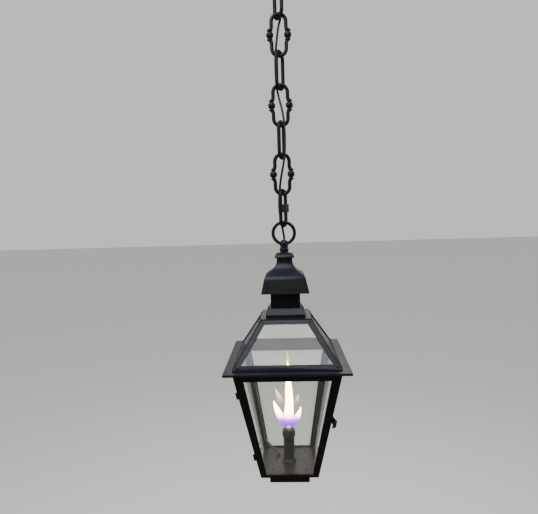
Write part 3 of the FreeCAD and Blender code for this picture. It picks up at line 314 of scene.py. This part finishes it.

# %% Settled dust and painted sky sheen: a thin pale film where a face looks up
dust_and_sheen_group, dust_and_sheen_in, dust_and_sheen_out = new_group(
    "settled_dust_and_sky_sheen",
    [("Place", "Vector", None), ("Amount", "Float", 0.5)],
    [("Mask", "Float")])
shape_node = add_node(dust_and_sheen_group, "NewGeometry")
facing = add_node(dust_and_sheen_group, "SeparateXYZ", {"Vector": shape_node.outputs["Normal"]})
looks_up = add_range(dust_and_sheen_group, facing.outputs["Z"], 0.15, 0.95)
uneven_film = add_node(dust_and_sheen_group, "TexNoise", {
    "Vector": dust_and_sheen_in.outputs["Place"], "Scale": 35.0, "Detail": 5.0, "Roughness": 0.6})
uneven_film_share = add_range(dust_and_sheen_group, uneven_film.outputs["Fac"], 0.25, 0.75, 0.85, 1.0)
both = add_node(dust_and_sheen_group, "Math", operation="MULTIPLY")
dust_and_sheen_group.links.new(looks_up, both.inputs[0])
dust_and_sheen_group.links.new(uneven_film_share, both.inputs[1])
scaled = add_node(dust_and_sheen_group, "Math", operation="MULTIPLY")
dust_and_sheen_group.links.new(both.outputs[0], scaled.inputs[0])
dust_and_sheen_group.links.new(dust_and_sheen_in.outputs["Amount"], scaled.inputs[1])
dust_and_sheen_group.links.new(scaled.outputs[0], dust_and_sheen_out.inputs["Mask"])
print("made", dust_and_sheen_group.name)

# %% [markdown]
# ## Metal finishes
# All the metals share one recipe: a body colour that clouds slightly, a paler colour where a face looks up
# (settled dust, and on the black metals a painted bluish sky reflection), the bare colour where edges are
# worn, and a bump from the grain. A single flat colour would look like plastic, so the recipe is one function
# and each finish is its own set of values.

# %% Metal recipe


def place_group(tree, group, **values):
    node = tree.nodes.new("ShaderNodeGroup")
    node.node_tree = group
    for name, value in values.items():
        socket = node.inputs[name.replace("_", " ")]
        if isinstance(value, bpy.types.NodeSocket):
            tree.links.new(value, socket)
        else:
            socket.default_value = value
    return node


def blend_colours(tree, factor, first, second):
    node = add_node(tree, "Mix", data_type="RGBA")
    for socket, value in ((node.inputs[0], factor), (node.inputs[6], first), (node.inputs[7], second)):
        if isinstance(value, bpy.types.NodeSocket):
            tree.links.new(value, socket)
        elif isinstance(value, tuple):
            socket.default_value = (*value, 1)
        else:
            socket.default_value = value
    return node.outputs[2]


def empty_material(name):
    material = bpy.data.materials.new(name)
    material.use_nodes = True
    return material, material.node_tree, material.node_tree.nodes["Principled BSDF"]


def metal_finish(name, colour, cloudy, dust_and_sheen_colour, worn, metallic, rough, rough_worn,
                 dust_and_sheen_amount=0.5, wear_amount=0.5, fine_scale=700.0, bump=0.15, gloss=0.5):
    material, tree, shader = empty_material(name)
    spot = add_node(tree, "TexCoord").outputs["Object"]
    skin = place_group(tree, grain, Place=spot, Fine_Scale=fine_scale)
    rubbed = place_group(tree, wear, Place=spot, Amount=wear_amount).outputs["Mask"]
    upward_dust_and_sheen = place_group(tree, dust_and_sheen_group, Place=spot, Amount=dust_and_sheen_amount).outputs["Mask"]
    base = blend_colours(tree, skin.outputs["Cloud"], colour, cloudy)
    # Faces that look up take the third colour: settled dust, and on the black metals a painted bluish
    # reflection of the sky.
    base = blend_colours(tree, upward_dust_and_sheen, base, dust_and_sheen_colour)
    base = blend_colours(tree, rubbed, base, worn)
    tree.links.new(base, shader.inputs["Base Color"])
    rough_now = add_node(tree, "Mix", data_type="FLOAT")
    tree.links.new(rubbed, rough_now.inputs[0])
    rough_now.inputs[3].default_value = rough_worn
    rough_sound = add_range(tree, skin.outputs["Cloud"], 0, 1, rough - 0.05, rough + 0.06)
    tree.links.new(rough_sound, rough_now.inputs[2])
    tree.links.new(rough_now.outputs[0], shader.inputs["Roughness"])
    shader.inputs["Metallic"].default_value = metallic
    shader.inputs["Specular IOR Level"].default_value = gloss
    relief = add_node(tree, "Bump", {"Height": skin.outputs["Height"], "Strength": bump, "Distance": 0.0002})
    tree.links.new(relief.outputs["Normal"], shader.inputs["Normal"])
    return material


# %% The lantern's metals
# The third colour of each finish goes where a face looks up. On the black powder coat, the blackened steel
# and the painted tube it is a painted bluish sky reflection; on the other finishes it is dust.
finishes = {
    "black_metal": metal_finish(
        "black_powder_coat", (0.0055, 0.0062, 0.0078), (0.0075, 0.0085, 0.0105), (0.024, 0.034, 0.048),
        (0.04, 0.04, 0.042), 0.0, 0.36, 0.46, dust_and_sheen_amount=0.7, wear_amount=0.3, gloss=0.34),
    # A darker, duller copy of the black powder coat: painted shade on the upright frame and the parts inside
    # the lantern.
    "shaded_black_metal": metal_finish(
        "shaded_powder_coat", (0.0035, 0.0034, 0.0033), (0.005, 0.0048, 0.0046), (0.009, 0.0085, 0.008),
        (0.03, 0.028, 0.026), 0.0, 0.44, 0.5, dust_and_sheen_amount=0.4, wear_amount=0.3, gloss=0.2),
    "plated_steel": metal_finish(
        "blackened_steel", (0.012, 0.013, 0.016), (0.018, 0.02, 0.023), (0.035, 0.04, 0.048),
        (0.12, 0.12, 0.125), 0.6, 0.36, 0.3, dust_and_sheen_amount=0.35, wear_amount=0.6),
    "gas_tube": metal_finish(
        "painted_soft_copper", (0.008, 0.009, 0.011), (0.012, 0.013, 0.016), (0.03, 0.034, 0.04),
        (0.08, 0.06, 0.045), 0.0, 0.38, 0.4, dust_and_sheen_amount=0.4, wear_amount=0.5),
    "brass": metal_finish(
        "dull_brass", (0.3, 0.2, 0.08), (0.2, 0.14, 0.06), (0.14, 0.12, 0.08),
        (0.55, 0.4, 0.18), 0.9, 0.4, 0.28, dust_and_sheen_amount=0.3, wear_amount=0.6, fine_scale=400.0, bump=0.1),
    "browned_metal": metal_finish(
        "heat_browned_metal", (0.011, 0.0068, 0.0045), (0.016, 0.0095, 0.006), (0.022, 0.015, 0.011),
        (0.05, 0.035, 0.026), 0.0, 0.42, 0.46, dust_and_sheen_amount=0.4, wear_amount=0.4, gloss=0.25),
    "sleeve_enamel": metal_finish(
        "sooted_enamel", (0.004, 0.004, 0.0045), (0.006, 0.006, 0.006), (0.012, 0.011, 0.011),
        (0.025, 0.022, 0.02), 0.0, 0.5, 0.5, dust_and_sheen_amount=0.3, wear_amount=0.3, gloss=0.25),
    "ceramic": metal_finish(
        "unglazed_ceramic", (0.62, 0.56, 0.47), (0.5, 0.44, 0.37), (0.3, 0.26, 0.22),
        (0.7, 0.65, 0.58), 0.0, 0.7, 0.7, dust_and_sheen_amount=0.4, wear_amount=0.2, fine_scale=1500.0, bump=0.3),
}
print("finishes:", ", ".join(material.name for material in finishes.values()))

# %% [markdown]
# ## Glass
# The panes are clear sheet, a little wavy, held by tabs from behind. Real glass in a path tracer blocks most
# of the light that should reach the inside, because few paths find their way through two surfaces. So light
# that only asks whether it is in shadow passes nearly straight through, and everything else sees true glass.

# %% Clear sheet glass
material, tree, shader = empty_material("clear_sheet_glass")
shader.inputs["Base Color"].default_value = (0.93, 0.95, 0.93, 1)
shader.inputs["Transmission Weight"].default_value = 1.0
shader.inputs["Metallic"].default_value = 0.0
shader.inputs["IOR"].default_value = 1.46
GLASS_SHADOW = 0.1
spot = add_node(tree, "TexCoord").outputs["Object"]
film = add_node(tree, "TexNoise", {"Vector": spot, "Scale": 14.0, "Detail": 4.0})
tree.links.new(add_range(tree, film.outputs["Fac"], 0.45, 0.75, 0.0, 0.05), shader.inputs["Roughness"])
waves = add_node(tree, "TexNoise", {"Vector": spot, "Scale": 22.0, "Detail": 1.0})
relief = add_node(tree, "Bump", {"Height": waves.outputs["Fac"], "Strength": 0.12, "Distance": 0.0008})
tree.links.new(relief.outputs["Normal"], shader.inputs["Normal"])
asks_shadow = add_node(tree, "LightPath").outputs["Is Shadow Ray"]
tree.links.new(add_range(tree, asks_shadow, 0, 1, 1.0, GLASS_SHADOW), shader.inputs["Alpha"])
finishes["glass"] = material
print("made", material.name)

# %% [markdown]
# ## Finishes on the measured parts
# Sheet metal never has a knife edge: the coat rounds each fold. The parts keep their measured shapes, and a
# small bevel modifier rounds what shows. The round pieces have the doubled vertices along their seams joined.

# %% Dress the measured nodes
SLOT_OF = {entry["node"]: entry["material_slot"] for entry in frame["record"]["subparts"]}
EDGE_ROUND = {
    "canopy_shell": 0.4, "hood": 0.35, "finial_cap": 0.5, "eave_plate": 0.35, "roof_frame": 0.3,
    "roof_trims": 0.35, "body_frame": 0.35, "door_frame": 0.35, "vent_box": 0.25, "vent_skirt": 0.35,
    "burner_tray": 0.35, "floor_plate": 0.25, "floor_straps": 0.3, "hanger_strap": 0.3,
    "fixed_leaves": 0.15, "door_latch": 0.15, "quick_link_nut": 0.3, "rod_nuts": 0.3, "canopy_nuts": 0.3,
    "valve_knob": 0.3, "ceiling_bar": 0.3,
}
# These parts take the darker copy of the black powder coat, which is painted shade.
SHADED_COAT_PARTS = {
    "body_frame", "door_frame", "burner_tray", "vent_box", "hanger_strap", "hanger_rod",
}
BROWNED = {"floor_plate", "floor_straps", "glass_clips"}
ROUND_PIECES = {
    "candle_sleeve", "burner_cup", "burner_tip", "gas_valve", "tube_gland", "hanging_ring", "gas_line",
}
ROUND_WELD = 0.005 * MM
EDGE_WELD = 0.02 * MM
SMOOTH_ANGLE = math.radians(32)


def weld(node, reach):
    """Joins the vertices that the measured mesh leaves doubled along its seams."""
    joined = node.modifiers.new("weld", "WELD")
    joined.merge_threshold = reach


def dress(name):
    node = nodes_by_name[name]
    node.data.materials.clear()
    finish = "shaded_black_metal" if name in SHADED_COAT_PARTS else "browned_metal" if name in BROWNED else SLOT_OF[name]
    node.data.materials.append(finishes[finish])
    if name in ROUND_PIECES:
        weld(node, ROUND_WELD)
    if name in EDGE_ROUND:
        weld(node, EDGE_WELD)
        rounding = node.modifiers.new("rounded edges", "BEVEL")
        rounding.width = EDGE_ROUND[name] * MM
        rounding.segments = 2
        rounding.limit_method = "ANGLE"
        rounding.angle_limit = SMOOTH_ANGLE
        rounding.harden_normals = False


for name in nodes_by_name:
    dress(name)
for tube in tube_pieces:
    tube.data.materials.append(finishes["gas_tube"])
print("dressed", len(nodes_by_name), "nodes and", len(tube_pieces), "stretches of tube")

# %% [markdown]
# ## Screw heads
# The roof's trims and the floor's straps are held by small slotted screws. The measured model has plain
# domes. Here each dome is found again in the mesh, and a slotted pan head with a rounded rim is put in its
# place, all in one object, because they never move apart.

# %% Find each dome and cut a slotted head for it
SEAM_REACH = 0.001 * MM
# In millimetres: how far each of the roof's faces comes inwards, and how far it climbs.
ROOF_RUN = 58.95
ROOF_RISE = 93.1
ROOF_LEAN = math.atan2(ROOF_RUN, ROOF_RISE)
QUARTERS = [turn * math.pi / 2 for turn in range(4)]
# A head faces straight up on the floor, or squarely out of one of the roof's four leaning faces.
HEAD_WAYS = [Vector((0, 0, 1))] + [
    Vector((math.sin(turn) * math.cos(ROOF_LEAN), -math.cos(turn) * math.cos(ROOF_LEAN), math.sin(ROOF_LEAN)))
    for turn in QUARTERS]


def islands(mesh):
    """The mesh's separate lumps, each as a list of points."""
    bm = bmesh.new()
    bm.from_mesh(mesh)
    bmesh.ops.remove_doubles(bm, verts=bm.verts, dist=SEAM_REACH)
    waiting = set(bm.verts)
    lumps = []
    while waiting:
        stack = [waiting.pop()]
        lump = []
        while stack:
            vertex = stack.pop()
            lump.append(vertex.co.copy())
            for edge in vertex.link_edges:
                other = edge.other_vert(vertex)
                if other in waiting:
                    waiting.remove(other)
                    stack.append(other)
        lumps.append(lump)
    bm.free()
    return lumps


def flat_way(points, centre):
    """The way a head faces: the one in which its lump is thinnest."""
    best = None
    for way in HEAD_WAYS:
        heights = [(point - centre).dot(way) for point in points]
        spread = max(heights) - min(heights)
        if best is None or spread < best[0] - 1e-6:
            best = (spread, way)
    return best[1]


HEAD_PROFILE = [(1.0, 0.0), (1.0, 0.35), (0.93, 0.62), (0.72, 0.86), (0.4, 1.0)]
HEAD_TURNS = 20
SLOT_HALF = 0.16
SLOT_DEPTH = 0.45
SLOT_STARTS = 0.6
TURN_STEP = 0.7
FOOT_DEPTH = 0.05 * MM


def screw_head(bm, foot, way, radius, height, turn):
    """A domed head on a plane, with a straight slot sunk across it."""
    side = Quaternion(way, turn) @ way.orthogonal().normalized()
    other = way.cross(side)
    rings = []
    for share, rise in HEAD_PROFILE:
        ring = []
        for step in range(HEAD_TURNS):
            angle = 2 * math.pi * step / HEAD_TURNS
            across, along = share * math.cos(angle), share * math.sin(angle)
            sunk = rise - SLOT_DEPTH if abs(along) < SLOT_HALF and rise > SLOT_STARTS else rise
            ring.append(bm.verts.new(
                foot + side * across * radius + other * along * radius + way * sunk * height))
        rings.append(ring)
    for low, high in zip(rings, rings[1:]):
        for step in range(HEAD_TURNS):
            after = (step + 1) % HEAD_TURNS
            bm.faces.new((low[step], low[after], high[after], high[step]))
    top = rings[-1]
    upper = [vertex for vertex in top if (vertex.co - foot).dot(other) > radius * SLOT_HALF * 0.5]
    lower = [vertex for vertex in top if (vertex.co - foot).dot(other) < -radius * SLOT_HALF * 0.5]
    for half in (upper, lower):
        half.sort(key=lambda vertex: (vertex.co - foot).dot(side))
        bm.faces.new(half)
    bm.faces.new(rings[0])


head_bm = bmesh.new()
domes = islands(nodes_by_name["panel_screws"].data)
for number, lump in enumerate(domes):
    centre = sum(lump, Vector()) / len(lump)
    way = flat_way(lump, centre)
    low = min((p - centre).dot(way) for p in lump)
    high = max((p - centre).dot(way) for p in lump)
    rim = [p for p in lump if (p - centre).dot(way) < low + FOOT_DEPTH]
    foot = sum(rim, Vector()) / len(rim)
    radius = max(((p - foot) - way * (p - foot).dot(way)).length for p in lump)
    screw_head(head_bm, foot, way, radius, high - low, TURN_STEP * number)
screw_heads = new_piece("slotted_screw_heads", head_bm, smooth=False)
screw_heads.data.materials.append(finishes["plated_steel"])
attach(screw_heads, "lantern")
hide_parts("panel_screws")
print(len(domes), "screw heads")

# %% [markdown]
# ## The flame
# A gas flame from a slotted tip splits into three tongues, violet where the gas first burns and yellow-white
# above. It could be a glowing volume, but a volume is slow and leaves no mesh. Three closed leaf shapes that
# glow, and grow clear towards their outlines, look alike from every side.

# %% Shape the three tongues
TONGUES = {
    "middle": [(0, -170, 6), (-0.5, -160, 11), (-0.2, -148, 12.5), (1.5, -132, 11.6), (3.2, -115, 9.2),
               (2.9, -98, 9.0), (1.8, -80, 8.4), (2.2, -62.6, 6.4), (2.8, -45, 4.2), (1.8, -28, 2.0),
               (0.3, -12, 0.15)],
    "left": [(-5, -169, 5), (-12, -157, 8.4), (-18.5, -144, 8.6), (-24, -131, 7.2), (-28.4, -121, 4.8),
             (-31.4, -113, 2.2), (-32.7, -106, 0.15)],
    "right": [(5, -169, 5), (12, -159, 8.2), (18.5, -149, 8.2), (23.6, -140, 6), (26.6, -132, 3.4),
              (28.2, -126, 1.6), (28.8, -121.8, 0.15)],
}
TONGUE_DEPTH = {"middle": 0.7, "left": 0.6, "right": 0.6}
flame_bm = bmesh.new()
for name, spine in TONGUES.items():
    rings = []
    for number, (across, height, half) in enumerate(spine):
        before, after = spine[max(number - 1, 0)], spine[min(number + 1, len(spine) - 1)]
        heading = Vector((after[0] - before[0], 0, after[1] - before[1])).normalized()
        sideways = heading.cross(Vector((0, 1, 0)))
        ring = []
        for step in range(RING_CORNERS):
            angle = 2 * math.pi * step / RING_CORNERS
            offset = sideways * math.cos(angle) * half
            offset += Vector((0, math.sin(angle) * half * TONGUE_DEPTH[name], 0))
            ring.append(flame_bm.verts.new(from_eave(across + offset.x, offset.y, height + offset.z)))
        rings.append(ring)
    for low, high in zip(rings, rings[1:]):
        for step in range(RING_CORNERS):
            after = (step + 1) % RING_CORNERS
            flame_bm.faces.new((low[step], low[after], high[after], high[step]))
    flame_bm.faces.new(rings[0])
    flame_bm.faces.new(list(reversed(rings[-1])))
flame = new_piece("flame", flame_bm)
softened = flame.modifiers.new("softened", "SUBSURF")
softened.levels = softened.render_levels = 2
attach(flame, "lantern")
print("flame", [round(v, 3) for v in flame.dimensions])

# %% Light the flame
FLAME_FOOT = -169 * MM - EAVE_DROP
FLAME_TIP = -12 * MM - EAVE_DROP
GLOW_WATTS = 0.8
GLOW_RADIUS = 18 * MM
material, tree, shader = empty_material("gas_flame")
shader.inputs["Base Color"].default_value = (0, 0, 0, 1)
shader.inputs["Roughness"].default_value = 1.0
shader.inputs["Specular IOR Level"].default_value = 0.0
shader.inputs["Emission Strength"].default_value = 22.0
spot = add_node(tree, "SeparateXYZ", {"Vector": add_node(tree, "TexCoord").outputs["Object"]})
climb = add_range(tree, spot.outputs["Z"], FLAME_FOOT, FLAME_TIP)
glow = add_ramp(tree, climb, [
    (0.0, (0.008, 0.008, 0.05)), (0.07, (0.018, 0.014, 0.1)), (0.13, (0.06, 0.03, 0.11)),
    (0.2, (0.42, 0.2, 0.14)), (0.3, (1.0, 0.62, 0.28)), (0.6, (1.0, 0.58, 0.18)), (0.85, (1.0, 0.42, 0.08)),
    (1.0, (0.8, 0.25, 0.03)),
])
rim = add_node(tree, "LayerWeight", {"Blend": 0.5}).outputs["Facing"]
edge_share = add_range(tree, rim, 0.15, 0.85)
glowing = blend_colours(tree, edge_share, glow.outputs["Color"], (0.28, 0.085, 0.008))
low_share = add_range(tree, climb, 0.1, 0.24, 1.0, 0.0)
glowing = blend_colours(tree, low_share, glowing, glow.outputs["Color"])
tree.links.new(glowing, shader.inputs["Emission Color"])
clear_rim = add_range(tree, rim, 0.35, 1.0, 1.0, 0.0)
clear_foot = add_range(tree, climb, 0.0, 0.2, 0.35, 1.0)
body_alpha = add_node(tree, "Math", operation="MULTIPLY")
tree.links.new(clear_rim, body_alpha.inputs[0])
tree.links.new(clear_foot, body_alpha.inputs[1])
tree.links.new(body_alpha.outputs[0], shader.inputs["Alpha"])
flame.data.materials.append(material)

glow_light = bpy.data.lights.new("flame_light", "POINT")
glow_light.energy = GLOW_WATTS
glow_light.color = (1.0, 0.56, 0.22)
glow_light.shadow_soft_size = GLOW_RADIUS
glow_object = bpy.data.objects.new("flame_light", glow_light)
glow_object.location = from_eave(1, 0, -105)
glow_object.visible_camera = False
glow_object.visible_glossy = False
glow_object.visible_transmission = False
bpy.context.scene.collection.objects.link(glow_object)
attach(glow_object, "lantern")

# %% [markdown]
# ## Studio
# Dark metal shows its shape by what it reflects, so the lights are large and soft: one wide panel above and
# ahead, a weaker one at each side, and an even pale surround. The floor is plain and far enough below that
# nothing on it competes with the lantern. A pale room mirrored in the panes would hide what is inside, so
# reflections meet a dimmer surround and no floor. Only the pictures show this, not the model itself.

# %% Floor, surround and lights
FLOOR_DROP = 2.4
FLOOR_HALF = 40.0
floor_bm = bmesh.new()
corners = [(-1, -1), (1, -1), (1, 1), (-1, 1)]
floor_bm.faces.new([
    floor_bm.verts.new((x * FLOOR_HALF, y * FLOOR_HALF, -FLOOR_DROP)) for x, y in corners])
floor = new_piece("studio_floor", floor_bm, smooth=False)
material, tree, shader = empty_material("pale_floor")
shader.inputs["Base Color"].default_value = (0.78, 0.77, 0.75, 1)
shader.inputs["Roughness"].default_value = 0.9
floor.data.materials.append(material)
floor.visible_glossy = False

world = bpy.data.worlds.new("studio")
world.use_nodes = True
world.node_tree.nodes["Background"].inputs["Color"].default_value = (0.86, 0.86, 0.85, 1)
SURROUND = 0.6
SURROUND_IN_REFLECTIONS = 0.2
path = add_node(world.node_tree, "LightPath")
passed = add_range(world.node_tree, path.outputs["Is Transmission Ray"], 0, 1, 1.0, 0.0)
mirrored = add_node(world.node_tree, "Math", operation="MULTIPLY")
world.node_tree.links.new(path.outputs["Is Glossy Ray"], mirrored.inputs[0])
world.node_tree.links.new(passed, mirrored.inputs[1])
strength = add_range(world.node_tree, mirrored.outputs[0], 0, 1, SURROUND, SURROUND_IN_REFLECTIONS)
world.node_tree.links.new(strength, world.node_tree.nodes["Background"].inputs["Strength"])
bpy.context.scene.world = world


def soft_panel(name, spot, target, wide, tall, power, colour):
    light = bpy.data.lights.new(name, "AREA")
    light.shape = "RECTANGLE"
    light.size, light.size_y = wide, tall
    light.energy = power
    light.color = colour
    panel = bpy.data.objects.new(name, light)
    panel.location = spot
    panel.rotation_mode = "QUATERNION"
    panel.rotation_quaternion = (Vector(target) - Vector(spot)).to_track_quat("-Z", "Y")
    bpy.context.scene.collection.objects.link(panel)


LANTERN_MIDDLE = (0, 0, -0.9)
# Each panel: where it stands, its width and height in metres, its watts and its colour.
PANELS = {
    "top_light": ((-0.5, -1.3, 1.1), 2.2, 1.8, 34, (0.93, 0.96, 1.0)),
    "left_light": ((-2.2, -0.9, -0.4), 1.2, 1.6, 9, (0.96, 0.98, 1.0)),
    "right_light": ((2.3, -0.6, -0.3), 1.2, 1.6, 8, (1.0, 0.97, 0.94)),
    "back_light": ((0.4, 2.2, 0.6), 1.8, 1.4, 14, (1.0, 0.99, 0.97)),
}
for name, (spot, wide, tall, power, colour) in PANELS.items():
    soft_panel(name, spot, LANTERN_MIDDLE, wide, tall, power, colour)
bpy.context.scene.view_settings.view_transform = "Filmic"
bpy.context.scene.view_settings.look = "Medium High Contrast"
print("lit")
